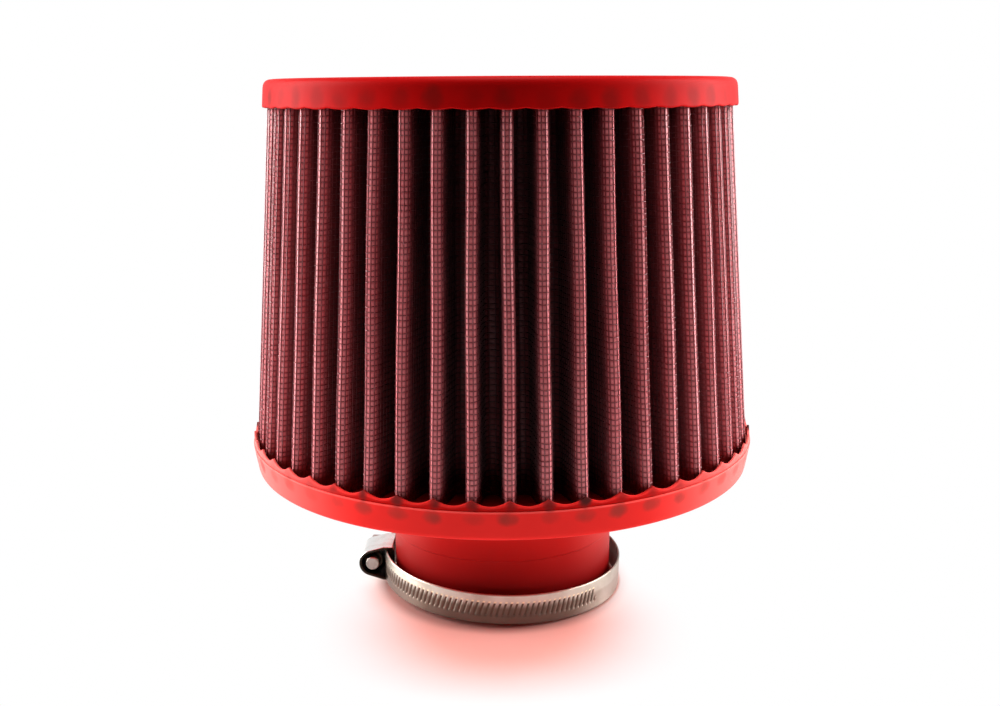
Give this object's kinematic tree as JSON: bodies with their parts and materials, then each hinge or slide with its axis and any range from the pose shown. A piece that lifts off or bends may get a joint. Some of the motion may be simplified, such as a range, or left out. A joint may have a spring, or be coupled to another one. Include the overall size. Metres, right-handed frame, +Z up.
{
  "type": "cone air filter",
  "caption": "Tapered cone air filter: pleated red gauze under wire screen, cast into soft red end caps, with a plain neck and a loose worm-drive hose clamp round it.",
  "frame": {"origin": "on the filter's axis, at the open end of the neck, on which it stands", "axes": "+Z runs up the axis from the neck to the closed cap; -Y faces the viewer of the picture; the clamp's housing is on the -X side"},
  "size_m": [0.15, 0.15, 0.1541],
  "materials": {
    "red_polyurethane": "satin cast rubber",
    "coated_wire": "coated wire cloth",
    "oiled_gauze": "oiled cotton gauze",
    "stainless_band": "rolled strip",
    "stainless_pressing": "pressed sheet",
    "plated_screw": "plated, turned"
  },
  "bodies": {
    "filter": {"top_cap": "red_polyurethane", "base_flange": "red_polyurethane", "outer_screen": "coated_wire", "gauze_media": "oiled_gauze", "inner_screen": "coated_wire", "clamp_band": "stainless_band", "clamp_housing": "stainless_pressing", "clamp_saddle": "stainless_pressing"},
    "worm_screw": {"clamp_screw": "plated_screw"}
  },
  "joints": [
    {"name": "screw_turn", "type": "hinge", "parent": "filter", "child": "worm_screw", "pos_m": [-0.04055, 0, 0.00716], "axis": [0, -1, 0], "continuous": true}
  ]
}
